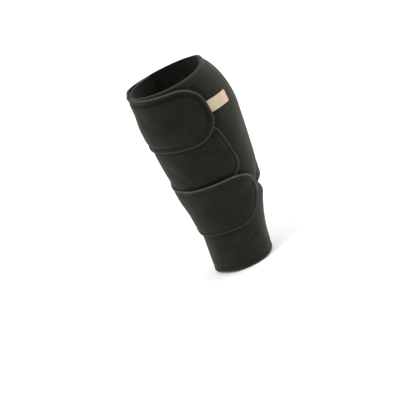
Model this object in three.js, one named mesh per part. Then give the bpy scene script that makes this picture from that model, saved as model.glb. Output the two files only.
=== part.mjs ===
import * as THREE from 'three';

// Inelastic compression wrap, closed as worn. Millimetres. +Z runs up from the narrow lower hem to the upper
// one, -Y is the front, +Y the full back and +X the outer side, where the strap tips lie. The origin is on
// the wrap's long axis, level with the lower hem. Angles are in degrees round that axis: 0 the outer side,
// 90 the back, -90 the front.

const panelThickness = 3;
const strapThickness = 2.2;
const tabThickness = 1.2;
const labelThickness = 0.8;
const seatGap = 0.45;

// Outer face of the panel: its reach from the long axis at each height.
const panelSections = [
  { height: -8, front: 39, back: 42, side: 36.5 },
  { height: 2, front: 38.5, back: 43, side: 37 },
  { height: 28, front: 36.5, back: 46, side: 38 },
  { height: 58, front: 35.5, back: 53, side: 41 },
  { height: 88, front: 38, back: 61, side: 46 },
  { height: 118, front: 40.5, back: 67, side: 51 },
  { height: 150, front: 44.5, back: 71, side: 55.5 },
  { height: 184, front: 47, back: 74, side: 58.5 },
  { height: 212, front: 49, back: 75, side: 59 },
  { height: 238, front: 50, back: 71, side: 57 },
  { height: 255, front: 50.5, back: 65, side: 53.5 },
  { height: 269, front: 49.5, back: 56.5, side: 49 },
  { height: 282, front: 48.5, back: 48.5, side: 44.5 },
];
const widestTowardsBack = 0.45;
const sectionPower = 2.15;

// Heights of the two hems all the way round.
const hems = [
  { angle: -180, top: 266, bottom: 0.5 },
  { angle: -135, top: 263, bottom: 0 },
  { angle: -90, top: 261.5, bottom: 0.5 },
  { angle: -45, top: 263.5, bottom: 2 },
  { angle: 0, top: 265, bottom: -1 },
  { angle: 45, top: 269, bottom: 0 },
  { angle: 90, top: 273.5, bottom: 2.5 },
  { angle: 135, top: 270, bottom: 1.5 },
  { angle: 180, top: 266, bottom: 0.5 },
];
const topLevel = 264;
const topHemFade = 45;
const bottomHemFade = 30;

// The panel runs from its inner long edge round the front and back to its outer long edge, which laps over.
const lap = { innerEdge: -160, liftFrom: 130, liftTo: 194, outerEdge: 224 };
const panelColumns = 60;
const levelsBelowFold = 4;
const levelsAboveFold = 10;

// The pinched crease across the back, as steps out from the smooth face.
const fold = { height: 92.5, middle: 95, full: 12, fade: 32 };
const foldProfile = [
  { rise: -34, out: 0 },
  { rise: -22, out: 0.8 },
  { rise: -13, out: 1.8 },
  { rise: -8, out: -0.5 },
  { rise: -3.5, out: -3.9 },
  { rise: 0, out: -4.6 },
  { rise: 4, out: -0.5 },
  { rise: 8, out: 1.3 },
  { rise: 20, out: 0 },
];

// Bands in the unrolled cloth. A tip is at a distance round from the middle of the outer side, towards the
// back. A positive slant sets the upper part of the end further on. Rise is the climb from tip to front.
const straps = [
  { name: 'middle', low: 122, high: 203, tip: 30.3, lowCorner: 32, highCorner: 12, slant: -0.195, rise: 0 },
  { name: 'upper', low: 184.7, high: 260.5, tip: 25.3, lowCorner: 36, highCorner: 28, slant: 0, rise: 3 },
  { name: 'lower', low: 56.2, high: 129.2, tip: 42.8, lowCorner: 31, highCorner: 38, slant: 0.24, rise: 0.5 },
];
const strapSeam = -171;

// Hook tabs under the tips, clear of the middle strap's edges. Each ends short of its strap's tip.
const tabs = {
  middle: { low: 131, high: 194 },
  upper: { low: 207, high: 252 },
  lower: { low: 67, high: 119 },
};
const slantFade = 70;
const riseLength = 100;
const tabMargin = 8;
const tabLength = 40;
const label = { low: 216.5, high: 232, tip: 58.5, root: 20, corner: 0.8, slant: 0.1 };

// How a band rides up over the edge of what lies under it.
const coverMargin = 11;
const coverRamp = 30;
const lapRamp = 26;

const strapGrid = { tipColumns: 8, columns: 34, rows: 8 };
const tabGrid = { tipColumns: 5, columns: 12, rows: 6 };
const labelGrid = { tipColumns: 1, columns: 8, rows: 3 };

const { degToRad, lerp, smoothstep } = THREE.MathUtils;

// Smooth lookup of the named columns of a table, as one object for each position.
function smoothTable(rows, keyName, columnNames) {
  const keys = rows.map((row) => row[keyName]);
  const values = rows.flatMap((row) => columnNames.map((name) => row[name]));
  const spline = new THREE.CubicInterpolant(keys, values, columnNames.length);
  return (key) => {
    const found = spline.evaluate(key);
    return Object.fromEntries(columnNames.map((name, i) => [name, found[i]]));
  };
}

const sectionAt = smoothTable(panelSections, 'height', ['front', 'back', 'side']);
const hemAt = smoothTable(hems, 'angle', ['top', 'bottom']);

function wrapAngle(angle) {
  return THREE.MathUtils.euclideanModulo(angle + 180, 360) - 180;
}

// One girth of the panel's outer face, from -180 to 180 degrees, measured along the cloth.
class Girth extends THREE.Curve {
  constructor(height) {
    super();
    this.section = sectionAt(height);
    this.height = height;
    this.centre = widestTowardsBack * (this.section.back - this.section.front);
    this.sideLength = this.getLengths()[this.arcLengthDivisions / 2];
  }

  getPoint(t, target = new THREE.Vector3()) {
    const turn = degToRad(360 * t - 180);
    const round = (x) => Math.sign(x) * Math.abs(x) ** (2 / sectionPower);
    const { front, back, side } = this.section;
    const depth = Math.sin(turn) < 0 ? front + this.centre : back - this.centre;
    return target.set(side * round(Math.cos(turn)), this.centre + depth * round(Math.sin(turn)), this.height);
  }

  // Distance along the cloth from the middle of the outer side, and the angle at such a distance.
  alongAt(angle) {
    const lengths = this.getLengths();
    const step = (angle + 180) / 360 * this.arcLengthDivisions;
    const whole = Math.min(Math.floor(step), this.arcLengthDivisions - 1);
    return lerp(lengths[whole], lengths[whole + 1], step - whole) - this.sideLength;
  }

  angleAt(along) {
    return 360 * this.getUtoTmapping(0, along + this.sideLength) - 180;
  }

  // Point that stands off the smooth face by a lift.
  standOff(angle, lift) {
    const t = (wrapAngle(angle) + 180) / 360;
    const tangent = this.getTangent(t);
    const outward = new THREE.Vector3(tangent.y, -tangent.x, 0).normalize();
    return this.getPoint(t).addScaledVector(outward, lift);
  }
}

const girths = new Map();
function girthAt(height) {
  if (!girths.has(height)) {
    girths.set(height, new Girth(height));
  }
  return girths.get(height);
}

// One closed wall from a grid of places. Side 1 is the outer face and side 0 the inner face. Columns run
// towards growing angles and rows run up.
function clothWall(columns, rows, place) {
  const positions = [];
  const index = [];
  for (const side of [1, 0]) {
    for (let column = 0; column <= columns; column += 1) {
      for (let row = 0; row <= rows; row += 1) {
        positions.push(...place(column, row, side).toArray());
      }
    }
  }
  const inner = (columns + 1) * (rows + 1);
  const outerAt = (column, row) => column * (rows + 1) + row;
  const innerAt = (column, row) => inner + outerAt(column, row);
  const quad = (a, b, c, d) => index.push(a, b, c, a, c, d);
  for (let column = 0; column < columns; column += 1) {
    const next = column + 1;
    for (let row = 0; row < rows; row += 1) {
      const above = row + 1;
      quad(outerAt(column, row), outerAt(next, row), outerAt(next, above), outerAt(column, above));
      quad(innerAt(column, row), innerAt(column, above), innerAt(next, above), innerAt(next, row));
    }
    quad(outerAt(column, 0), innerAt(column, 0), innerAt(next, 0), outerAt(next, 0));
    quad(outerAt(column, rows), outerAt(next, rows), innerAt(next, rows), innerAt(column, rows));
  }
  for (let row = 0; row < rows; row += 1) {
    const above = row + 1;
    quad(outerAt(0, row), outerAt(0, above), innerAt(0, above), innerAt(0, row));
    quad(outerAt(columns, row), innerAt(columns, row), innerAt(columns, above), outerAt(columns, above));
  }
  const geometry = new THREE.BufferGeometry();
  geometry.setAttribute('position', new THREE.Float32BufferAttribute(positions, 3));
  geometry.setIndex(index);
  geometry.computeVertexNormals();
  return geometry;
}

// The wrapped panel

function lapLift(turned) {
  return (panelThickness + seatGap) * smoothstep(turned, lap.liftFrom, lap.liftTo);
}

function foldOut(angle, height) {
  const away = Math.abs(angle - fold.middle);
  const strength = 1 - smoothstep(away, fold.full, fold.full + fold.fade);
  const rise = height - fold.height;
  const above = foldProfile.findIndex((step) => step.rise >= rise);
  if (above < 0 || strength === 0) {
    return 0;
  }
  if (above === 0) {
    return strength * foldProfile[0].out;
  }
  const [from, to] = foldProfile.slice(above - 1, above + 1);
  return strength * lerp(from.out, to.out, (rise - from.rise) / (to.rise - from.rise));
}

function levelsBetween(from, to, count) {
  return Array.from({ length: count }, (_, i) => lerp(from, to, i / count));
}

function panelGeometry() {
  const foldLevels = foldProfile.map((step) => fold.height + step.rise);
  const foldTop = foldLevels.pop();
  const levels = [
    ...levelsBetween(0, foldLevels[0], levelsBelowFold),
    ...foldLevels,
    ...levelsBetween(foldTop, topLevel, levelsAboveFold),
    topLevel,
  ];
  return clothWall(panelColumns, levels.length - 1, (column, row, side) => {
    const turned = lerp(lap.innerEdge, lap.outerEdge, column / panelColumns);
    const angle = wrapAngle(turned);
    const level = levels[row];
    const hem = hemAt(angle);
    const dip = hem.bottom * (1 - smoothstep(level, 0, bottomHemFade));
    const climb = (hem.top - topLevel) * smoothstep(level, topLevel - topHemFade, topLevel);
    const lift = lapLift(turned) + foldOut(angle, level) - panelThickness * (1 - side);
    return girthAt(level + dip + climb).standOff(angle, lift);
  });
}

// Bands that lie on the panel

function middleOf(band) {
  return (band.low + band.high) / 2;
}

function climbOf(band, fromTip) {
  return band.rise * smoothstep(fromTip, 0, riseLength);
}

// The sewn end: straps start at a seam along the panel, and short pieces at a distance of their own.
function rootAlong(band, height) {
  return 'root' in band ? band.root : girthAt(height).alongAt(strapSeam);
}

// Distance in the unrolled cloth from a place to a band's outline, negative inside it.
function distanceTo(band, along, height) {
  const level = height - climbOf(band, band.tip - along);
  const offMiddle = level - middleOf(band);
  const corner = offMiddle > 0 ? band.highCorner : band.lowCorner;
  const pastTip = along - band.tip - band.slant * offMiddle + corner;
  const pastEdge = Math.abs(offMiddle) - (band.high - band.low) / 2 + corner;
  const outside = Math.hypot(Math.max(pastTip, 0), Math.max(pastEdge, 0));
  const inside = Math.min(Math.max(pastTip, pastEdge), 0);
  return Math.max(outside + inside - corner, rootAlong(band, height) - along);
}

// Stand-off of the panel's own outer layer, eased down past its lapped edge.
function panelStep(along, height) {
  const girth = girthAt(height);
  const edge = lap.outerEdge - 360;
  const pastEdge = along - girth.alongAt(edge);
  if (pastEdge < 0) {
    return lapLift(girth.angleAt(along) + 360);
  }
  return lapLift(lap.outerEdge) * (1 - smoothstep(pastEdge, coverMargin, coverMargin + lapRamp));
}

// Stand-off of a band's inner face, over everything that it covers.
function bedOf(band, along, height) {
  let bed = panelStep(along, height);
  for (const under of band.covers) {
    const cover = 1 - smoothstep(distanceTo(under, along, height), coverMargin, coverMargin + coverRamp);
    if (cover > 0) {
      const top = bedOf(under, along, height) + under.thickness;
      bed = lerp(bed, Math.max(bed, top), cover);
    }
  }
  return bed + seatGap;
}

function cornerInset(corner, fromTip) {
  const into = Math.max(corner - fromTip, 0);
  return corner - Math.sqrt(corner ** 2 - into ** 2);
}

function bandGeometry(band, grid) {
  const round = Math.max(band.lowCorner, band.highCorner);
  const plainColumns = grid.columns - grid.tipColumns;
  return clothWall(grid.columns, grid.rows, (column, row, side) => {
    const fromEnd = grid.columns - column;
    const turn = Math.min(fromEnd / grid.tipColumns, 1) * Math.PI / 2;
    const intoRound = round * (1 - Math.cos(turn));
    const low = band.low + cornerInset(band.lowCorner, intoRound);
    const high = band.high - cornerInset(band.highCorner, intoRound);
    const level = lerp(low, high, row / grid.rows);
    const plainLength = band.tip - round - rootAlong(band, level + band.rise);
    const fromTip = intoRound + plainLength * Math.max(fromEnd - grid.tipColumns, 0) / plainColumns;
    const lean = band.slant * (level - middleOf(band)) * (1 - smoothstep(fromTip, 0, slantFade));
    const height = level + climbOf(band, fromTip);
    const along = band.tip - fromTip + lean;
    const lift = bedOf(band, along, height) + side * band.thickness;
    return girthAt(height).standOff(girthAt(height).angleAt(along), lift);
  });
}

function tabUnder(strap) {
  return {
    ...strap,
    ...tabs[strap.name],
    tip: strap.tip - tabMargin,
    root: strap.tip - tabMargin - tabLength,
    lowCorner: strap.lowCorner - tabMargin,
    highCorner: strap.highCorner - tabMargin,
    thickness: tabThickness,
    covers: [],
  };
}

// Colours and finish

const finishes = {
  panel: { color: 0x3a3b36, roughness: 0.95, metalness: 0 },
  strap: { color: 0x2a2b25, roughness: 0.92, metalness: 0 },
  hook: { color: 0x1c1c1a, roughness: 0.7, metalness: 0 },
  label: { color: 0xccbb9b, roughness: 0.85, metalness: 0 },
};

const wrap = new THREE.Group();

function addPiece(name, geometry, finish) {
  const piece = new THREE.Mesh(geometry, new THREE.MeshStandardMaterial(finishes[finish]));
  piece.name = name;
  wrap.add(piece);
}

addPiece('body', panelGeometry(), 'panel');

const tag = {
  ...label,
  lowCorner: label.corner,
  highCorner: label.corner,
  rise: 0,
  thickness: labelThickness,
  covers: [],
};
addPiece('label', bandGeometry(tag, labelGrid), 'label');

// The middle strap is closed first, and the other two lie over it.
const laid = [];
for (const row of straps) {
  const tab = tabUnder(row);
  const tucked = row.name === 'upper' ? [tag] : [];
  const strap = { ...row, thickness: strapThickness, covers: [...laid, tab, ...tucked] };
  addPiece(`${row.name}_hook_tab`, bandGeometry(tab, tabGrid), 'hook');
  addPiece(`${row.name}_strap`, bandGeometry(strap, strapGrid), 'strap');
  if (row.name === 'middle') {
    laid.push(strap);
  }
}

export default wrap;
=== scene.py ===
import bisect
import functools
import itertools
import math

import bmesh
import bpy
from mathutils import Matrix, Vector, noise


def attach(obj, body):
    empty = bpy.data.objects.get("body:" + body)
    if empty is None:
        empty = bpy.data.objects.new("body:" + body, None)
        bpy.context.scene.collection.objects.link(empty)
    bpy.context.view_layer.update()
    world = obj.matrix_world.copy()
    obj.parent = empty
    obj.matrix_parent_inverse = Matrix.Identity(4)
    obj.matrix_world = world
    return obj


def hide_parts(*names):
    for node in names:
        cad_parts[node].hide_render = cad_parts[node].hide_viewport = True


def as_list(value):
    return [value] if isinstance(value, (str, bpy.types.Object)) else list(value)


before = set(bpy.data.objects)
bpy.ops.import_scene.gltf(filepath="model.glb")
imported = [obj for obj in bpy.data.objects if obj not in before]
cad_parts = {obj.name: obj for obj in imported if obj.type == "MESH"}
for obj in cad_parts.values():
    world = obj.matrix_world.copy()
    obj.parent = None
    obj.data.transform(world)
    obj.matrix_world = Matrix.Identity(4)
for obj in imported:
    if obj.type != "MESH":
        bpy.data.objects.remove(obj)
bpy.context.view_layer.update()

# tables are in millimetres and degrees, finishes in metres, and angles run 0 outer side, 90 back, -90 front
mm = 0.001
print("frame loaded:", ", ".join(sorted(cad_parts)))


# the camera stands square to the outer side, where the strap tips lie, and the wrap leans in its view
shot = {
    "lookAt": (0.0, -20.3, 97.5),
    "distance": 2300.0,
    "azimuth": 90.0,
    "elevation": 19.0,
    "lean": 23.8,
    "lens": 159.2,
}


def addCamera():
    turn = math.radians(shot["azimuth"])
    tilt = math.radians(shot["elevation"])
    lean = math.radians(shot["lean"])
    back = Vector((math.sin(turn) * math.cos(tilt), -math.cos(turn) * math.cos(tilt), math.sin(tilt)))
    level = Vector((math.cos(turn), math.sin(turn), 0))
    rise = back.cross(level)
    right = level * math.cos(lean) - rise * math.sin(lean)
    up = level * math.sin(lean) + rise * math.cos(lean)
    data = bpy.data.cameras.new("shotCamera")
    data.lens = shot["lens"]
    camera = bpy.data.objects.new("shotCamera", data)
    camera.matrix_world = Matrix((right, up, back)).transposed().to_4x4()
    camera.location = (Vector(shot["lookAt"]) + back * shot["distance"]) * mm
    bpy.context.scene.collection.objects.link(camera)
    bpy.context.scene.camera = camera


addCamera()
print("camera set")


# small number helpers
def smoothStep(x, low, high):
    t = min(max((x - low) / (high - low), 0.0), 1.0)
    return t * t * (3 - 2 * t)


def between(a, b, share):
    return a + (b - a) * share


def evenSteps(start, end, step):
    count = max(int(abs(end - start) / step), 1)
    return [between(start, end, i / count) for i in range(count + 1)]


def runLength(points):
    # length of the line up to each of its points
    steps = ((b - a).length for a, b in itertools.pairwise(points))
    return [0.0, *itertools.accumulate(steps)]


def smoothRow(rows, key):
    # cubic through the rows' columns, with the mean of the two neighbouring slopes at each row
    i = min(max(bisect.bisect_right(rows, key, key=lambda row: row[0]) - 1, 0), len(rows) - 2)
    before, start, end, after = (rows[min(max(k, 0), len(rows) - 1)] for k in (i - 1, i, i + 1, i + 2))
    step = end[0] - start[0]
    t = min(max((key - start[0]) / step, 0.0), 1.0)
    found = []
    for column in range(1, len(start)):
        middle = (end[column] - start[column]) / step
        slopeIn = middle if before is start else (start[column] - before[column]) / (start[0] - before[0])
        slopeOut = middle if after is end else (after[column] - end[column]) / (after[0] - end[0])
        bendIn = (slopeIn + middle) / 2 * step
        bendOut = (slopeOut + middle) / 2 * step
        rise = end[column] - start[column]
        curve = bendIn + bendOut - 2 * rise
        found.append(start[column] + t * (bendIn + t * (3 * rise - 2 * bendIn - bendOut + t * curve)))
    return found


# form of the panel's outer face
form = {
    # height, reach to the front, to the back and to either side
    "sections": [
        (-8, 39, 42, 36.5),
        (2, 38.5, 43, 37),
        (28, 36.5, 46, 38),
        (58, 35.5, 53, 41),
        (88, 38, 61, 46),
        (118, 40.5, 67, 51),
        (150, 44.5, 71, 55.5),
        (184, 47, 74, 58.5),
        (212, 49, 75, 59),
        (238, 50, 71, 57),
        (255, 50.5, 65, 53.5),
        (269, 49.5, 56.5, 49),
        (282, 48.5, 48.5, 44.5),
    ],
    "widestTowardsBack": 0.45,
    "fullness": 2.15,
}


def signedPower(value, power):
    return math.copysign(abs(value) ** power, value)


def ringPoint(section, angle):
    front, back, side = section
    centre = form["widestTowardsBack"] * (back - front)
    x = math.cos(math.radians(angle))
    y = math.sin(math.radians(angle))
    power = 2 / form["fullness"]
    depth = front + centre if y < 0 else back - centre
    return Vector((side * signedPower(x, power), centre + depth * signedPower(y, power), 0))


tableStep = 2  # degrees from one place of a girth table to the next
slopeStep = 0.5  # degrees to either side, for the way out from the face


@functools.lru_cache(maxsize=None)
def girthTable(level):
    # length of cloth from the middle of the outer side to each angle, at a height in whole millimetres
    section = smoothRow(form["sections"], level)
    ring = [ringPoint(section, angle) for angle in range(-180, 180 + tableStep, tableStep)]
    lengths = runLength(ring)
    middle = lengths[len(lengths) // 2]
    return [length - middle for length in lengths]


def alongOnTable(level, angle):
    table = girthTable(level)
    place = (angle + 180) / tableStep
    i = min(max(int(place), 0), len(table) - 2)
    return between(table[i], table[i + 1], place - i)


def angleOnTable(level, along):
    table = girthTable(level)
    i = min(max(bisect.bisect_right(table, along) - 1, 0), len(table) - 2)
    return (i + (along - table[i]) / (table[i + 1] - table[i])) * tableStep - 180


def alongAt(angle, height):
    level = math.floor(height)
    return between(alongOnTable(level, angle), alongOnTable(level + 1, angle), height - level)


def angleAt(along, height):
    level = math.floor(height)
    return between(angleOnTable(level, along), angleOnTable(level + 1, along), height - level)


def formPoint(angle, height, lift):
    # place that stands off the smooth face, in metres
    section = smoothRow(form["sections"], height)
    ahead = ringPoint(section, angle + slopeStep)
    behind = ringPoint(section, angle - slopeStep)
    run = ahead - behind
    out = Vector((run.y, -run.x, 0)).normalized()
    return (ringPoint(section, angle) + out * lift + Vector((0, 0, height))) * mm


# soft relief that all the cloth shares
leastThickness = 0.3  # share of the cloth that the deepest crease leaves
# painted shade in a seam groove turns from its low value to its high one between these shares
paintedShadeTurn = (0.1, 0.3)  # shares up the cloth between which a seam's low shade turns into its high one


def seamPress(seam, inside):
    # how far the edge stitching presses the pile down, 0 to 1
    return math.exp(-(((inside - seam["inset"]) / seam["width"]) ** 2))


def paintedSeamShade(seam, inside, up):
    # painted shade in the stitched groove, from the low edge to the high one
    return between(seam["lowShade"], seam["highShade"], smoothStep(up, *paintedShadeTurn)) * seamPress(seam, inside)


def unevenness(ripples, along, height):
    # each ripple has a size across, a height and a seed
    rise = 0.0
    for size, crest, seed in ripples:
        rise += crest * noise.noise(Vector((along / size, height / size, seed)))
    return rise


def creaseDip(creases, along, height):
    dip = 0.0
    for startAlong, startHeight, endAlong, endHeight, width, depth in creases:
        start = Vector((startAlong, startHeight))
        run = Vector((endAlong, endHeight)) - start
        share = min(max((Vector((along, height)) - start).dot(run) / run.length_squared, 0.0), 1.0)
        away = (Vector((along, height)) - start - run * share).length
        dip += depth * math.exp(-((away / width) ** 2))
    return dip


def pressedThickness(cloth, dip):
    return max(cloth["thickness"] - dip, leastThickness * cloth["thickness"])


def clothPoint(place, share):
    # on the inner face at share 0, on the outer face at share 1
    angle, height, inner, thickness = place
    return formPoint(angle, height, inner + share * thickness)


# the wrapped panel
panel = {
    "thickness": 3.0,
    "gap": 0.45,
    "innerEdge": -160,
    "outerEdge": 224,
    "liftFrom": 130,
    "liftTo": 194,
    "aroundCells": 256,
    "upCells": 132,
    "hemCells": 14,
    "hemDepth": 11.0,
    # angle, upper hem, lower hem
    "hems": [
        (-180, 266, 0.5),
        (-135, 263, 0),
        (-90, 261.5, 0.5),
        (-45, 263.5, 2),
        (0, 265, -1),
        (45, 269, 0),
        (90, 273.5, 2.5),
        (135, 270, 1.5),
        (180, 266, 0.5),
    ],
    # the pinched crease across the back: rise from its height, step out
    "foldHeight": 92.5,
    "foldMiddle": 95,
    "foldFull": 12,
    "foldFade": 32,
    "fold": [
        (-38, 0),
        (-22, 1.4),
        (-13, 2.4),
        (-8, 0.2),
        (-3.5, -3.7),
        (0, -4.6),
        (4, 0.2),
        (8, 2.5),
        (14, 1.7),
        (28, 0),
    ],
    # small creases: start along and height, end along and height, width, depth
    "creases": [
        (-16, 35, 6, 37, 4.0, 0.7),
        (15, 34, 21, 36, 3.2, 1.0),
        (24, 22, 48, 18, 5.0, 0.7),
        (-48, 24, -22, 20, 6.0, 0.5),
        (52, 100, 66, 118, 4.0, 0.9),
        (96, 84, 112, 72, 4.0, 0.9),
        (70, 62, 92, 57, 5.0, 0.8),
    ],
    "ripples": [(36, 0.55, 1.5), (13, 0.1925, 4.5)],
    # worn pale with a painted highlight on the hem tape, stronger on the high hem
    "worn": (0.3, 0.5, 0.9),  # low hem, long edges, high hem
    "hemTapeStep": 0.81,  # degrees
    "longTapeStep": 0.0034,  # share of the height
    # stitched hem seam, with painted shade in its groove
    "seam": {"inset": 6.5, "width": 1.7, "depth": 0.6, "highShade": 0.3, "lowShade": 0.3},
}


def wrapAngle(angle):
    return (angle + 180) % 360 - 180


def lapLift(turned):
    return (panel["thickness"] + panel["gap"]) * smoothStep(turned, panel["liftFrom"], panel["liftTo"])


def foldOut(angle, height):
    away = abs(angle - panel["foldMiddle"])
    strength = 1 - smoothStep(away, panel["foldFull"], panel["foldFull"] + panel["foldFade"])
    rise = height - panel["foldHeight"]
    if strength == 0 or not panel["fold"][0][0] < rise < panel["fold"][-1][0]:
        return 0.0
    return strength * smoothRow(panel["fold"], rise)[0]


def hemHeights(turned):
    return smoothRow(panel["hems"], wrapAngle(turned))


def onPanel(turned, height):
    # angle and height, the inner face's stand-off, and the cloth's thickness where it is pressed
    angle = wrapAngle(turned)
    along = alongAt(angle, height)
    relief = unevenness(panel["ripples"], along, height)
    inner = lapLift(turned) + foldOut(angle, height) + relief - panel["thickness"]
    top, bottom = hemHeights(turned)
    dip = creaseDip(panel["creases"], along, height)
    dip += panel["seam"]["depth"] * seamPress(panel["seam"], min(top - height, height - bottom))
    return angle, height, inner, pressedThickness(panel, dip)


def panelPoint(turned, height, share):
    return clothPoint(onPanel(turned, height), share)


def panelAlong(turned, height):
    # length of cloth round the form, carried on past half a turn where the panel laps over
    angle = wrapAngle(turned)
    girth = alongAt(180, height) - alongAt(-180, height)
    return alongAt(angle, height) + girth * round((turned - angle) / 360)


# bands that lie on the panel, as cut: edge heights, reach of the tip from the middle of the outer side,
# the painted shadow beside their edges, the painted shade in their seam grooves, and how worn the low edge,
# the end and the high edge are, where the wear carries a painted highlight strongest on the high edge
straps = {
    "middle": {
        "low": 122, "high": 203, "tip": 30.3, "lowCorner": 32, "highCorner": 12,
        "slant": -0.195, "rise": 0, "thickness": 2.2, "edgeShade": 0.4, "tipReach": 3.0,
        "seam": {"inset": 5.2, "width": 1.6, "depth": 1.2, "highShade": 0.15, "lowShade": 0.15},
        "creases": [
            (-1.4, 176, 8.2, 142, 2.6, 1.4),
            (5.5, 149, 7.5, 145, 4.0, 1.2),
            (-60, 160, -38, 142, 6, 0.7),
            (-34, 127, 22, 133, 4.5, 1.6),
            (17.5, 188, 24.5, 152, 2.4, -0.7),
        ],
        "flares": [{"side": 1, "from": 5, "to": 40, "lift": 0.5}],
        "worn": (0.16, 0.2, 0.35),
    },
    "upper": {
        "low": 184.7, "high": 260.5, "tip": 25.3, "lowCorner": 36, "highCorner": 28,
        "slant": 0, "rise": 3, "thickness": 2.2, "edgeShade": 0.85, "tipReach": 9.0,
        "seam": {"inset": 7.4, "width": 2.4, "depth": 1.3, "highShade": 1.0, "lowShade": 0.25},
        "creases": [(-62, 232, -34, 214, 7, 0.6), (-14, 197, 2, 200, 4, 0.5)],
        "flares": [
            {"side": -1, "from": -22, "to": 22, "lift": 1.0},
            {"side": 1, "from": -75, "to": 4, "lift": 1.5},
        ],
        "worn": (0.12, 0.16, 0.6),
    },
    "lower": {
        "low": 56.2, "high": 129.2, "tip": 42.8, "lowCorner": 31, "highCorner": 38,
        "slant": 0.24, "rise": 0.5, "thickness": 2.2, "edgeShade": 0.8, "tipReach": 2.2,
        "seam": {"inset": 6.2, "width": 1.9, "depth": 0.55, "highShade": 0.4, "lowShade": 0.1},
        "creases": [(-40, 96, -12, 108, 6, 0.5), (8, 84, 26, 78, 6, 0.4)],
        "flares": [{"side": 1, "from": -36, "to": 24, "lift": 2.4}],
        "worn": (0.12, 0.25, 0.88),
    },
}
strapWays = {
    "seam": -171,  # where all three are sewn on
    "rootRows": (4, 10),  # more rows of stitches beside the root
    "rootStep": 2,
    "slantFade": 70,
    "riseLength": 100,
    "pillow": 0.5,
    "pillowReach": 6,
    "ripples": [(30, 0.35, 7.5)],
    "rippleReach": 10,
    "flareReach": 7,
    "flareFade": 15,
    # painted shadow beside a strap's edge: how far it reaches along the sides, and near the tip
    "paintedShadowReach": 2.2,  # how far a strap shades what lies under its edge
    "paintedShadowTipZone": 12,
    "grid": {"columns": 190, "tipColumns": 36, "rows": 84},
}
tabs = {"middle": (131, 194), "upper": (207, 252), "lower": (67, 119)}  # low and high edges
tabWays = {"margin": 8, "length": 40, "thickness": 1.2}
label = {
    "low": 216.5, "high": 232, "tip": 58.5, "root": 20, "lowCorner": 0.8, "highCorner": 0.8,
    "slant": 0.1, "rise": 0, "thickness": 0.8, "covers": [],
    "sewn": {"inset": 2, "margin": 1, "step": 1},
    "grid": {"columns": 40, "tipColumns": 2, "rows": 16},
}
overlap = {"margin": 11, "ramp": 30, "lapRamp": 26}  # how a band rides up over an edge


def layOutBands():
    # the middle strap is closed first, and the other two lie over it
    for name, strap in straps.items():
        low, high = tabs[name]
        tab = dict(strap, low=low, high=high, tip=strap["tip"] - tabWays["margin"])
        tab["root"] = tab["tip"] - tabWays["length"]
        tab["lowCorner"] -= tabWays["margin"]
        tab["highCorner"] -= tabWays["margin"]
        tab["thickness"] = tabWays["thickness"]
        tab["covers"] = []
        strap["covers"] = [tab] if name == "middle" else [straps["middle"], tab]
    straps["upper"]["covers"].append(label)


layOutBands()


def middleOf(band):
    return (band["low"] + band["high"]) / 2


def climbOf(band, fromTip):
    return band["rise"] * smoothStep(fromTip, 0, strapWays["riseLength"])


def rootAlong(band, height):
    return band["root"] if "root" in band else alongAt(strapWays["seam"], height)


def edgeDistance(band, x, level, slant):
    # from a place in the flat cut to the band's outline, negative inside
    offMiddle = level - middleOf(band)
    corner = band["highCorner"] if offMiddle > 0 else band["lowCorner"]
    pastTip = x - band["tip"] - slant * offMiddle + corner
    pastEdge = abs(offMiddle) - (band["high"] - band["low"]) / 2 + corner
    outside = math.hypot(max(pastTip, 0), max(pastEdge, 0))
    return outside + min(max(pastTip, pastEdge), 0) - corner


def distanceTo(band, along, height):
    level = height - climbOf(band, band["tip"] - along)
    return max(edgeDistance(band, along, level, band["slant"]), rootAlong(band, height) - along)


def panelStep(along, height):
    edge = panel["outerEdge"] - 360
    pastEdge = along - alongAt(edge, height)
    if pastEdge < 0:
        return lapLift(angleAt(along, height) + 360)
    fade = smoothStep(pastEdge, overlap["margin"], overlap["margin"] + overlap["lapRamp"])
    return lapLift(panel["outerEdge"]) * (1 - fade)


def bedOf(band, along, height):
    bed = panelStep(along, height)
    for under in band["covers"]:
        away = distanceTo(under, along, height)
        cover = 1 - smoothStep(away, overlap["margin"], overlap["margin"] + overlap["ramp"])
        if cover > 0:
            top = bedOf(under, along, height) + under["thickness"]
            bed = between(bed, max(bed, top), cover)
    return bed + panel["gap"]


def insideEdge(band, x, level, height):
    # from a place in the flat cut to the nearest edge, the sewn root included
    return max(min(-edgeDistance(band, x, level, 0), x - rootAlong(band, height)), 0)


def paintedStrapShadow(over, along, height):
    # painted shadow on the pile beside the edges of the straps over it
    shade = 0.0
    for strap in over:
        nearTip = smoothStep(along, strap["tip"] - strapWays["paintedShadowTipZone"], strap["tip"])
        reach = between(strapWays["paintedShadowReach"], strap["tipReach"], nearTip)
        away = distanceTo(strap, along, height)
        shade = max(shade, strap["edgeShade"] * math.exp(-((away / reach) ** 2)))
    return shade


def strapRelief(strap, x, level, along, height):
    # how far the strap stands up from its bed, and how deep its face is pressed
    inside = insideEdge(strap, x, level, height)
    fade = strapWays["flareFade"]
    relief = strapWays["pillow"] * (1 - math.exp(-inside / strapWays["pillowReach"]))
    calm = math.exp(-inside / strapWays["rippleReach"])
    relief += unevenness(strapWays["ripples"], along, height) * (1 - calm)
    for flare in strap["flares"]:
        onSide = smoothStep(flare["side"] * (level - middleOf(strap)), 0, fade)
        opens = smoothStep(along, flare["from"] - fade, flare["from"])
        closes = smoothStep(along, flare["to"], flare["to"] + fade)
        nearEdge = math.exp(-inside / strapWays["flareReach"])
        relief += flare["lift"] * onSide * opens * (1 - closes) * nearEdge
    dip = creaseDip(strap["creases"], along, height)
    dip += strap["seam"]["depth"] * seamPress(strap["seam"], inside)
    return relief, dip


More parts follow.
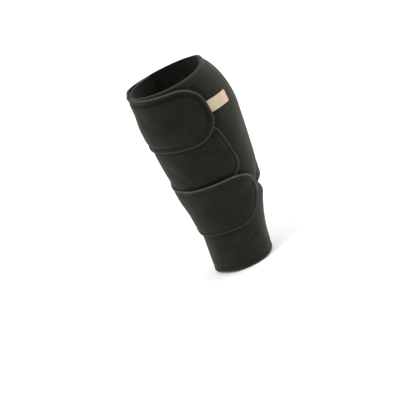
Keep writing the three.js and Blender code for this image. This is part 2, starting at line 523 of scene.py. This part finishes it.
def leanOf(band, x, level):
    # how far the slant of the end moves a place along the band
    fade = smoothStep(band["tip"] - x, 0, strapWays["slantFade"])
    return band["slant"] * (level - middleOf(band)) * (1 - fade)


def onBand(band, x, level):
    # from the flat cut, x along and level up, to its place on the form
    along = x + leanOf(band, x, level)
    height = level + climbOf(band, band["tip"] - x)
    inner = bedOf(band, along, height)
    dip = 0.0
    if "creases" in band:
        relief, dip = strapRelief(band, x, level, along, height)
        inner += relief
    return angleAt(along, height), height, inner, pressedThickness(band, dip)


def bandPoint(band, x, level, share):
    return clothPoint(onBand(band, x, level), share)


# shared shop tools: grids, finished pieces, edge tape and stitches
def newCloth(paintedLayer):
    # empty mesh with a cut map and one painted layer, of shade or of wear with highlight
    bm = bmesh.new()
    bm.loops.layers.uv.new("cut")
    bm.verts.layers.float.new(paintedLayer)
    return bm


def newGrid(columns, rows, paintedLayer):
    # flat grid of cloth, and each vertex's share along and up
    bm = newCloth(paintedLayer)
    bmesh.ops.create_grid(bm, x_segments=columns, y_segments=rows, size=0.5)
    shares = {v: (v.co.x + 0.5, v.co.y + 0.5) for v in bm.verts}
    return bm, shares


def setCut(bm, cutOf):
    cut = bm.loops.layers.uv["cut"]
    for face in bm.faces:
        for loop in face.loops:
            loop[cut].uv = cutOf[loop.vert]


sharpAbove = 50  # degrees between two faces


def addPiece(name, bm, material):
    mesh = bpy.data.meshes.new(name)
    bm.to_mesh(mesh)
    bm.free()
    mesh.shade_smooth()
    mesh.set_sharp_from_angle(angle=math.radians(sharpAbove))
    mesh.materials.append(material)
    piece = bpy.data.objects.new(name, mesh)
    bpy.context.scene.collection.objects.link(piece)
    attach(piece, "root")
    return piece


def closeCloth(bm, placeOf):
    # a second face of the cloth, and the rim that joins the two
    twins = bmesh.ops.duplicate(bm, geom=[*bm.verts, *bm.edges, *bm.faces])["vert_map"]
    for v, place in placeOf.items():
        v.co = clothPoint(place, 0)
        twins[v].co = clothPoint(place, 1)
    bmesh.ops.bridge_loops(bm, edges=[e for e in bm.edges if e.is_boundary])
    bmesh.ops.recalc_face_normals(bm, faces=bm.faces)


tape = {
    "width": 2.5,
    "proud": 0.26,
    "under": 0.15,
    "girth": 10.0,  # across its cut map
    "step": 0.9,
    "pucker": 0.05,  # between two stitches
    "merge": 0.001,
}
stitch = {"pitch": 3.4, "length": 2.4, "width": 0.5, "height": 0.36, "sides": 6, "rings": 4}


def tapeProfile(thickness):
    # closed section of the narrow rolled edge: inset from the edge, stand-off from the cloth's inner face
    width = tape["width"]
    top = thickness + tape["proud"]
    bottom = -tape["under"]
    return [
        (width, thickness - 0.5),
        (width, thickness + 0.02),
        (width - 0.5, top - 0.05),
        (1.2, top),
        (0.4, top - 0.03),
        (-0.06, thickness + 0.06),
        (-0.16, thickness - 0.4),
        (-0.18, thickness / 2),
        (-0.16, 0.4),
        (-0.06, -0.03),
        (0.4, bottom + 0.02),
        (1.2, bottom),
        (width, bottom),
        (width, 0.5),
    ]


def joinInto(bm, part):
    mesh = bpy.data.meshes.new("joined")
    part.to_mesh(mesh)
    part.free()
    bm.from_mesh(mesh)
    bpy.data.meshes.remove(mesh)


def addTape(bm, stations, thickness, place, wearAndHighlightAt, closed):
    # rolls a grid into a tape along the stations and closes its seams
    profile = tapeProfile(thickness)
    part, shares = newGrid(len(stations) - 1, len(profile), "worn")
    worn = part.verts.layers.float["worn"]
    line = runLength([place(station, 0, 0) for station in stations])
    puckers = round(line[-1] / (stitch["pitch"] * mm))  # whole number, so that a closed tape meets itself
    cutOf = {}
    for v, (along, around) in shares.items():
        i = round(along * (len(stations) - 1))
        inset, lift = profile[round(around * len(profile)) % len(profile)]
        if 0 < inset < tape["width"] and lift > thickness:
            lift += tape["pucker"] * math.cos(2 * math.pi * puckers * line[i] / line[-1])
        v.co = place(stations[i], inset, lift / thickness)
        v[worn] = wearAndHighlightAt(stations[i])
        cutOf[v] = (line[i], around * tape["girth"] * mm)
    setCut(part, cutOf)
    bmesh.ops.remove_doubles(part, verts=part.verts, dist=tape["merge"] * mm)
    if not closed:
        bmesh.ops.holes_fill(part, edges=[e for e in part.edges if e.is_boundary])
    bmesh.ops.recalc_face_normals(part, faces=part.faces)
    joinInto(bm, part)


def addStitches(bm, feet, tops):
    # one short thread for each pitch along the line of feet, standing towards the tops
    line = runLength(feet)
    count = int(line[-1] / (stitch["pitch"] * mm))
    size = Matrix.Diagonal((stitch["length"] * mm, stitch["width"] * mm, stitch["height"] * mm, 1))
    lieDown = Matrix.Rotation(math.pi / 2, 4, "Y")
    for k in range(count):
        want = (k + 0.5) / count * line[-1]
        i = min(bisect.bisect_right(line, want), len(feet) - 1)
        centre = feet[i - 1].lerp(feet[i], (want - line[i - 1]) / (line[i] - line[i - 1]))
        forward = (feet[i] - feet[i - 1]).normalized()
        out = (tops[i] - feet[i]).normalized()
        side = out.cross(forward).normalized()
        facing = Matrix((forward, side, out)).transposed().to_4x4()
        bmesh.ops.create_uvsphere(
            bm,
            u_segments=stitch["sides"],
            v_segments=stitch["rings"],
            radius=0.5,
            matrix=Matrix.Translation(centre) @ facing @ size @ lieDown,
        )


def stitchRun(bm, stations, place, inset):
    feet = [place(station, inset, 1) for station in stations]
    tops = [place(station, inset, 2) for station in stations]
    addStitches(bm, feet, tops)


# node helpers
def put(tree, kind, inputs=None, **settings):
    node = tree.nodes.new(kind)
    for key, value in settings.items():
        setattr(node, key, value)
    for key, value in (inputs or {}).items():
        if isinstance(value, bpy.types.NodeSocket):
            tree.links.new(value, node.inputs[key])
        else:
            node.inputs[key].default_value = value
    return node


def newGroup(name, inputs, outputs):
    group = bpy.data.node_groups.new(name, "ShaderNodeTree")
    for socket, kind in inputs:
        group.interface.new_socket(name=socket, in_out="INPUT", socket_type=kind)
    for socket, kind in outputs:
        group.interface.new_socket(name=socket, in_out="OUTPUT", socket_type=kind)
    return group, put(group, "NodeGroupInput").outputs


def mathNode(tree, operation, *values):
    return put(tree, "ShaderNodeMath", dict(enumerate(values)), operation=operation).outputs[0]


def weighted(tree, *parts):
    # sum of the parts, each times its own share
    total = 0.0
    for value, share in parts:
        total = mathNode(tree, "MULTIPLY_ADD", value, share, total)
    return total


def spread(tree, value, low, high, toLow=0.0, toHigh=1.0):
    settings = {"Value": value, "From Min": low, "From Max": high, "To Min": toLow, "To Max": toHigh}
    return put(tree, "ShaderNodeMapRange", settings).outputs[0]


def cloudy(tree, vector, scale, detail=2.0):
    settings = {"Vector": vector, "Scale": scale, "Detail": detail}
    return put(tree, "ShaderNodeTexNoise", settings).outputs["Fac"]


def waves(tree, vector, scale, distortion, direction):
    settings = {"Vector": vector, "Scale": scale, "Distortion": distortion}
    return put(tree, "ShaderNodeTexWave", settings, bands_direction=direction).outputs["Fac"]


floatSocket = "NodeSocketFloat"
pileWays = {
    "detail": 3.0,
    "clumpScale": 0.25,
    "clumps": 0.3,
    "patches": 0.35,
    "nap": 0.35,
    "spread": (0.35, 0.65),
    "napHeight": 0.7,
}


def makePileGroup():
    # short brushed loops: fine nap, clumps of it and wide soft patches
    group, given = newGroup(
        "loopPile",
        [("Cut", "NodeSocketVector"), ("Pile", floatSocket), ("Patch", floatSocket)],
        [("Tone", floatSocket), ("Height", floatSocket)],
    )
    nap = cloudy(group, given["Cut"], given["Pile"], pileWays["detail"])
    clumpScale = mathNode(group, "MULTIPLY", given["Pile"], pileWays["clumpScale"])
    clumps = cloudy(group, given["Cut"], clumpScale)
    patches = cloudy(group, given["Cut"], given["Patch"], pileWays["detail"])
    parts = (clumps, pileWays["clumps"]), (patches, pileWays["patches"]), (nap, pileWays["nap"])
    tone = spread(group, weighted(group, *parts), *pileWays["spread"])
    height = weighted(group, (nap, pileWays["napHeight"]), (clumps, 1 - pileWays["napHeight"]))
    put(group, "NodeGroupOutput", {"Tone": tone, "Height": height})
    return group


ribWays = {"distortion": 0.4, "crests": 0.65}


def makeRibGroup():
    # woven ribs: crests across the tape, broken up by the threads that cross them
    group, given = newGroup(
        "wovenRib",
        [("Cut", "NodeSocketVector"), ("Ribs", floatSocket), ("Threads", floatSocket)],
        [("Tone", floatSocket), ("Height", floatSocket)],
    )
    crests = waves(group, given["Cut"], given["Ribs"], ribWays["distortion"], "X")
    crossing = waves(group, given["Cut"], given["Threads"], ribWays["distortion"], "Y")
    weave = weighted(group, (crests, ribWays["crests"]), (crossing, 1 - ribWays["crests"]))
    put(group, "NodeGroupOutput", {"Tone": weave, "Height": weave})
    return group


def newMaterial(name):
    material = bpy.data.materials.new(name)
    material.use_nodes = True
    tree = material.node_tree
    return material, tree, tree.nodes["Principled BSDF"]


def cutMap(tree):
    return put(tree, "ShaderNodeUVMap", uv_map="cut").outputs["UV"]


def patterned(tree, group, cut, look):
    return put(tree, "ShaderNodeGroup", {"Cut": cut, **look["scales"]}, node_tree=group).outputs


def mixColours(tree, share, first, second):
    # 6, 7 and 2 are the mix node's colour sockets
    return put(tree, "ShaderNodeMix", {"Factor": share, 6: first, 7: second}, data_type="RGBA").outputs[2]


def twoTone(tree, share, dark, light):
    return mixColours(tree, share, (*dark, 1), (*light, 1))


def painted(tree, layer):
    return put(tree, "ShaderNodeAttribute", attribute_name=layer).outputs["Fac"]


def setSurface(tree, shader, look, colour, tone, height):
    tree.links.new(colour, shader.inputs["Base Color"])
    roughness = spread(tree, tone, 0, look.get("fullTone", 1), *look["roughness"])
    tree.links.new(roughness, shader.inputs["Roughness"])
    settings = {"Height": height, "Distance": look["bump"], "Strength": look["strength"]}
    bump = put(tree, "ShaderNodeBump", settings)
    tree.links.new(bump.outputs["Normal"], shader.inputs["Normal"])
    for key, value in look["plain"].items():
        shader.inputs[key].default_value = value


loopPile = makePileGroup()
wovenRib = makeRibGroup()

clothLook = {
    # dark and light of the pile, sheen
    "tones": {
        "panelCloth": ((0.0050, 0.0054, 0.0035), (0.0164, 0.0171, 0.0125), 0.138),
        "strapCloth": ((0.0043, 0.0047, 0.0027), (0.0148, 0.0155, 0.0108), 0.097),
    },
    "scales": {"Pile": 2000.0, "Patch": 42.0},
    # colour of the painted shade and shadow, as a share of the dark tone
    "paintedShadeTone": 0.3,  # share of the dark tone
    "roughness": (0.95, 0.85),
    "bump": 0.0006,
    "strength": 0.5,
    "plain": {"Specular IOR Level": 0.06, "Sheen Roughness": 0.5, "Sheen Tint": (1.0, 0.98, 0.88, 1)},
}


def clothMaterial(name):
    # brushed pile, with painted shade in the seam grooves and painted shadow beside the edges of overlying
    # straps
    material, tree, shader = newMaterial(name)
    dark, light, sheen = clothLook["tones"][name]
    pile = patterned(tree, loopPile, cutMap(tree), clothLook)
    loose = twoTone(tree, pile["Tone"], dark, light)
    paintedShade = (*(clothLook["paintedShadeTone"] * part for part in dark), 1)
    colour = mixColours(tree, painted(tree, "paintedShade"), loose, paintedShade)
    setSurface(tree, shader, clothLook, colour, pile["Tone"], pile["Height"])
    shader.inputs["Sheen Weight"].default_value = sheen
    return material


tapeLook = {
    "scales": {"Ribs": 190.0, "Threads": 420.0},
    "dark": (0.012, 0.012, 0.010),
    # palest tone of the outer line: worn pale with a painted highlight
    "palest": {"hemTape": (0.03, 0.03, 0.026), "edgeTape": (0.125, 0.123, 0.109)},
    "paleLine": 0.0026,  # across the tape
    "paleFade": (0.0003, 0.0011, 1.0, 0.1),
    "wearScale": 90.0,
    "wearFade": (0.3, 0.7, 0.45, 1.0),
    "ribFade": (0, 1, 0.6, 1.0),
    "roughness": (0.85, 0.7),
    "bump": 0.0003,
    "strength": 0.6,
    "plain": {"Specular IOR Level": 0.2, "Sheen Weight": 0.06, "Sheen Roughness": 0.4},
}


def tapeMaterial(name):
    # dark on the faces, worn pale along the outermost line, where a painted highlight makes the high edges
    # paler than the low ones
    material, tree, shader = newMaterial(name)
    cut = cutMap(tree)
    ribs = patterned(tree, wovenRib, cut, tapeLook)
    across = put(tree, "ShaderNodeSeparateXYZ", {"Vector": cut}).outputs["Y"]
    fromLine = mathNode(tree, "ABSOLUTE", mathNode(tree, "SUBTRACT", across, tapeLook["paleLine"]))
    share = spread(tree, fromLine, *tapeLook["paleFade"])
    wear = spread(tree, cloudy(tree, cut, tapeLook["wearScale"]), *tapeLook["wearFade"])
    crests = spread(tree, ribs["Tone"], *tapeLook["ribFade"])
    for factor in (wear, painted(tree, "worn"), crests):
        share = mathNode(tree, "MULTIPLY", share, factor)
    colour = twoTone(tree, share, tapeLook["dark"], tapeLook["palest"][name])
    setSurface(tree, shader, tapeLook, colour, ribs["Tone"], ribs["Height"])
    return material


threadLook = {
    "twist": 900.0,
    "distortion": 2.0,
    "tones": ((0.006, 0.006, 0.005), (0.02, 0.02, 0.018)),
    "roughness": (0.6, 0.45),
    "bump": 0.0001,
    "strength": 0.5,
    "plain": {"Specular IOR Level": 0.35},
}


def threadMaterial():
    material, tree, shader = newMaterial("sewingThread")
    place = put(tree, "ShaderNodeTexCoord").outputs["Object"]
    twist = waves(tree, place, threadLook["twist"], threadLook["distortion"], "DIAGONAL")
    colour = twoTone(tree, twist, *threadLook["tones"])
    setSurface(tree, shader, threadLook, colour, twist, twist)
    return material


hookLook = {
    "scale": 700.0,
    "tones": ((0.02, 0.02, 0.019), (0.006, 0.006, 0.006)),
    "fullTone": 0.8,
    "roughness": (0.5, 0.8),
    "bump": 0.0006,
    "strength": 0.7,
    "plain": {"Specular IOR Level": 0.3},
}


def hookMaterial():
    material, tree, shader = newMaterial("hookTape")
    place = put(tree, "ShaderNodeTexCoord").outputs["Object"]
    settings = {"Vector": place, "Scale": hookLook["scale"]}
    hooks = put(tree, "ShaderNodeTexVoronoi", settings, feature="F1").outputs["Distance"]
    colour = twoTone(tree, hooks, *hookLook["tones"])
    setSurface(tree, shader, hookLook, colour, hooks, hooks)
    return material


labelLook = {
    "scales": {"Ribs": 260.0, "Threads": 330.0},
    "cream": ((0.31, 0.255, 0.168), (0.475, 0.398, 0.285)),
    "coral": ((0.42, 0.23, 0.185), (0.605, 0.40, 0.335)),
    "coralFrom": (0.0295, 0.0305),  # along the ribbon
    "roughness": (0.75, 0.5),
    "bump": 0.0002,
    "strength": 0.6,
    "plain": {"Specular IOR Level": 0.35, "Sheen Weight": 0.1},
}


def labelMaterial():
    # cream ribbon with a coral band at its free end
    material, tree, shader = newMaterial("labelRibbon")
    cut = cutMap(tree)
    ribs = patterned(tree, wovenRib, cut, labelLook)
    along = put(tree, "ShaderNodeSeparateXYZ", {"Vector": cut}).outputs["X"]
    cream = twoTone(tree, ribs["Tone"], *labelLook["cream"])
    coral = twoTone(tree, ribs["Tone"], *labelLook["coral"])
    colour = mixColours(tree, spread(tree, along, *labelLook["coralFrom"]), cream, coral)
    setSurface(tree, shader, labelLook, colour, ribs["Tone"], ribs["Height"])
    return material


panelCloth = clothMaterial("panelCloth")
strapCloth = clothMaterial("strapCloth")
hemTape = tapeMaterial("hemTape")
edgeTape = tapeMaterial("edgeTape")
sewingThread = threadMaterial()
hookTape = hookMaterial()
labelRibbon = labelMaterial()
print("materials made")


def buildPanel():
    hemCells = panel["hemCells"]
    rows = panel["upCells"] + 2 * hemCells
    bm, shares = newGrid(panel["aroundCells"], rows, "paintedShade")
    paintedShade = bm.verts.layers.float["paintedShade"]
    placeOf = {}
    cutOf = {}
    for v, (around, up) in shares.items():
        turned = between(panel["innerEdge"], panel["outerEdge"], around)
        top, bottom = hemHeights(turned)
        # rows lie closer together near both hems
        intoLow = min(up * rows / hemCells, 1)
        intoHigh = min((1 - up) * rows / hemCells, 1)
        share = min(max((up * rows - hemCells) / panel["upCells"], 0), 1)
        plain = between(bottom + panel["hemDepth"], top - panel["hemDepth"], share)
        height = plain - panel["hemDepth"] * (1 - intoLow) + panel["hemDepth"] * (1 - intoHigh)
        placeOf[v] = onPanel(turned, height)
        # painted shade in the hem seam groove, and painted shadow beside the straps' edges
        paintedHemShade = paintedSeamShade(panel["seam"], min(top - height, height - bottom), share)
        along = panelAlong(turned, height)
        v[paintedShade] = max(paintedHemShade, paintedStrapShadow(straps.values(), along, height))
        cutOf[v] = (along * mm, height * mm)
    setCut(bm, cutOf)
    closeCloth(bm, placeOf)
    piece = addPiece("wrapPanel", bm, panelCloth)
    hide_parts("body")
    return piece


def panelEdgeRuns():
    # each run: stations along one edge of the panel, how an inset from that edge is placed, and its wear
    # with painted highlight
    def topHem(turned, inset, share):
        return panelPoint(turned, hemHeights(turned)[0] - inset, share)

    def lowHem(turned, inset, share):
        return panelPoint(turned, hemHeights(turned)[1] + inset, share)

    def longEdge(edge, inwards):
        def place(up, inset, share):
            top, bottom = hemHeights(edge)
            height = between(bottom, top, up)
            angle = wrapAngle(edge)
            perDegree = alongAt(angle + 1, height) - alongAt(angle, height)
            return panelPoint(edge + inwards * inset / perDegree, height, share)
        return place

    turns = evenSteps(panel["innerEdge"], panel["outerEdge"], panel["hemTapeStep"])
    shares = evenSteps(0, 1, panel["longTapeStep"])
    low, long, high = panel["worn"]
    return [
        (turns, topHem, high),
        (turns, lowHem, low),
        (shares, longEdge(panel["innerEdge"], 1), long),
        (shares, longEdge(panel["outerEdge"], -1), long),
    ]


def buildPanelTrim():
    tapes = newCloth("worn")
    threads = bmesh.new()
    for stations, place, worn in panelEdgeRuns():
        addTape(tapes, stations, panel["thickness"], place, lambda station: worn, closed=False)
        stitchRun(threads, stations, place, panel["seam"]["inset"])
    binding = addPiece("panelBinding", tapes, hemTape)
    stitching = addPiece("panelStitching", threads, sewingThread)
    return [binding, stitching]


wrapPanel = buildPanel()
panelTrim = buildPanelTrim()
print("panel built:", len(wrapPanel.data.polygons), "faces")


def cornerInset(corner, fromTip):
    into = max(corner - fromTip, 0)
    return corner - math.sqrt(corner**2 - into**2)


def buildBand(name, band, grid, material):
    # a grid cut to the band's outline, then laid round the form
    columns = grid["columns"]
    tipColumns = grid["tipColumns"]
    bm, shares = newGrid(columns, grid["rows"], "paintedShade")
    paintedShade = bm.verts.layers.float["paintedShade"]
    reach = max(band["lowCorner"], band["highCorner"])
    over = [strap for strap in straps.values() if band in strap["covers"]]
    placeOf = {}
    cutOf = {}
    for v, (onward, up) in shares.items():
        fromEnd = (1 - onward) * columns
        intoRound = reach * (1 - math.cos(min(fromEnd / tipColumns, 1) * math.pi / 2))
        low = band["low"] + cornerInset(band["lowCorner"], intoRound)
        high = band["high"] - cornerInset(band["highCorner"], intoRound)
        level = between(low, high, up)
        plain = band["tip"] - reach - rootAlong(band, level + band["rise"])
        x = band["tip"] - intoRound - plain * max(fromEnd - tipColumns, 0) / (columns - tipColumns)
        placeOf[v] = onBand(band, x, level)
        if "seam" in band:
            height = placeOf[v][1]
            along = x + leanOf(band, x, level)
            # painted shade in the seam groove, and painted shadow beside the straps that lie over this band
            edgeShade = paintedSeamShade(band["seam"], insideEdge(band, x, level, height), up)
            v[paintedShade] = max(edgeShade, paintedStrapShadow(over, along, height))
        cutOf[v] = ((x - band.get("root", 0)) * mm, (level - band["low"]) * mm)
    setCut(bm, cutOf)
    closeCloth(bm, placeOf)
    return addPiece(name, bm, material)


def cornerStations(tip, level, radius, fromTurn, toTurn):
    # round one corner of a tip, whose arc is centred at this level
    for turn in evenSteps(fromTurn, toTurn, math.degrees(tape["step"] / radius))[1:]:
        out = Vector((math.cos(math.radians(turn)), math.sin(math.radians(turn))))
        yield tip - radius + out.x * radius, level + out.y * radius, -out.x, -out.y


def strapStations(strap, clear):
    # round the whole outline: a place on the edge and the way inwards from it, clear of the square corners
    low, high, tip = strap["low"], strap["high"], strap["tip"]
    lowCorner, highCorner = strap["lowCorner"], strap["highCorner"]
    lowRoot = rootAlong(strap, low + strap["rise"])
    highRoot = rootAlong(strap, high + strap["rise"])
    step = tape["step"]
    stations = [(lowRoot, low, 1, 1)]
    stations += [(x, low, 0, 1) for x in evenSteps(lowRoot + clear, tip - lowCorner, step)]
    stations += cornerStations(tip, low + lowCorner, lowCorner, -90, 0)
    stations += [(tip, level, -1, 0) for level in evenSteps(low + lowCorner, high - highCorner, step)[1:]]
    stations += cornerStations(tip, high - highCorner, highCorner, 0, 90)
    stations += [(x, high, 0, -1) for x in evenSteps(tip - highCorner, highRoot + clear, step)[1:]]
    stations.append((highRoot, high, 1, -1))
    for level in evenSteps(high - clear, low + clear, step):
        stations.append((rootAlong(strap, level + strap["rise"]), level, 1, 0))
    stations.append(stations[0])
    return stations


def buildStrapTrim(name, strap):
    def place(station, inset, share):
        x, level, inX, inLevel = station
        return bandPoint(strap, x + inX * inset, level + inLevel * inset, share)

    def acrossRoot(level, inset, share):
        return bandPoint(strap, rootAlong(strap, level + strap["rise"]) + inset, level, share)

    def wearAndHighlightAt(station):
        # worn pale with a painted highlight, from the end towards the low or the high edge
        low, tip, high = strap["worn"]
        up = -station[3]
        return between(tip, high, up) if up > 0 else between(tip, low, -up)

    inset = strap["seam"]["inset"]
    tapes = newCloth("worn")
    addTape(tapes, strapStations(strap, tape["width"]), strap["thickness"], place, wearAndHighlightAt, closed=True)
    threads = bmesh.new()
    stitchRun(threads, strapStations(strap, inset), place, inset)
    levels = evenSteps(strap["low"] + inset, strap["high"] - inset, strapWays["rootStep"])
    for beside in strapWays["rootRows"]:
        stitchRun(threads, levels, acrossRoot, inset + beside)
    binding = addPiece(name + "StrapBinding", tapes, edgeTape)
    stitching = addPiece(name + "StrapStitching", threads, sewingThread)
    return [binding, stitching]


strapPieces = {}
strapTrims = {}
for name, strap in straps.items():
    piece = buildBand(name + "Strap", strap, strapWays["grid"], strapCloth)
    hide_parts(name + "_strap")
    strapPieces[name] = piece
    strapTrims[name] = buildStrapTrim(name, strap)
    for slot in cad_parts[name + "_hook_tab"].material_slots:
        slot.material = hookTape
    print(name, "strap built")


def buildLabel():
    piece = buildBand("wovenLabel", label, label["grid"], labelRibbon)
    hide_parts("label")

    def acrossEnd(level, inset, share):
        return bandPoint(label, label["tip"] - inset, level, share)

    sewn = label["sewn"]
    levels = evenSteps(label["low"] + sewn["margin"], label["high"] - sewn["margin"], sewn["step"])
    threads = bmesh.new()
    stitchRun(threads, levels, acrossEnd, sewn["inset"])
    stitching = addPiece("labelStitching", threads, sewingThread)
    return piece, [stitching]


wovenLabel, labelTrim = buildLabel()
print("label built")

leastArea = 1e-12  # square metres, more than a face of the rim has on the cut map


def flatCut(piece):
    # width, length and area in metres: the cut map, lengthened by what the layers below take up
    corners = piece.data.uv_layers["cut"].data
    length, width = (max(c.uv[k] for c in corners) - min(c.uv[k] for c in corners) for k in (0, 1))
    mapped = area = 0.0
    for face in piece.data.polygons:
        ring = [corners[i].uv for i in face.loop_indices]
        inMap = abs(sum(a.cross(b) for a, b in zip(ring, ring[1:] + ring[:1]))) / 2
        if inMap > leastArea:
            mapped += inMap / 2
            area += face.area / 2
    return (width, length * area / mapped), area


def declareSheet(piece, trim):
    flat, area = flatCut(piece)
    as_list(trim)
    print(f"{piece.name} cut {flat[0]:.3f} by {flat[1]:.3f} m, area {area:.4f} m2")


declareSheet(wrapPanel, panelTrim)
for name, piece in strapPieces.items():
    declareSheet(piece, strapTrims[name])
declareSheet(wovenLabel, labelTrim)


# pale floor and soft studio light
studio = {
    "floorHeight": -2.0,
    "floorSize": 16000.0,
    "floorTones": ((0.9, 0.9, 0.9), (0.93, 0.93, 0.93)),
    "floorPatch": 3.0,
    "floorRoughness": 0.9,
    "world": 0.95,
    # the way each light comes from, its width in degrees and its power
    "lights": {
        "keyLight": ((0.6, -0.75, 1.1), 25, 1.2),
        "fillLight": ((-0.2, 1.0, 0.06), 80, 3.8),
        "farLight": ((-1.0, 0.1, 0.8), 60, 0.4),
    },
}


def addFloor():
    bm = bmesh.new()
    bmesh.ops.create_grid(bm, x_segments=1, y_segments=1, size=studio["floorSize"] / 2 * mm)
    bmesh.ops.translate(bm, verts=bm.verts, vec=(0, 0, studio["floorHeight"] * mm))
    mesh = bpy.data.meshes.new("paleFloor")
    bm.to_mesh(mesh)
    bm.free()
    material, tree, shader = newMaterial("paleFloor")
    place = put(tree, "ShaderNodeTexCoord").outputs["Object"]
    colour = twoTone(tree, cloudy(tree, place, studio["floorPatch"]), *studio["floorTones"])
    tree.links.new(colour, shader.inputs["Base Color"])
    shader.inputs["Roughness"].default_value = studio["floorRoughness"]
    mesh.materials.append(material)
    floor = bpy.data.objects.new("paleFloor", mesh)
    bpy.context.scene.collection.objects.link(floor)


def addLight(name, fromWay, spreadAngle, power):
    # broad even light from one side of the room
    data = bpy.data.lights.new(name, "SUN")
    data.angle = math.radians(spreadAngle)
    data.energy = power
    light = bpy.data.objects.new(name, data)
    light.rotation_euler = (-Vector(fromWay)).to_track_quat("-Z", "Y").to_euler()
    bpy.context.scene.collection.objects.link(light)


def addStudio():
    world = bpy.data.worlds.new("softStudio")
    world.use_nodes = True
    ground = world.node_tree.nodes["Background"]
    ground.inputs["Color"].default_value = (1, 1, 1, 1)
    ground.inputs["Strength"].default_value = studio["world"]
    bpy.context.scene.world = world
    for name, settings in studio["lights"].items():
        addLight(name, *settings)
    bpy.context.scene.view_settings.view_transform = "Standard"


addFloor()
addStudio()
print("studio set")
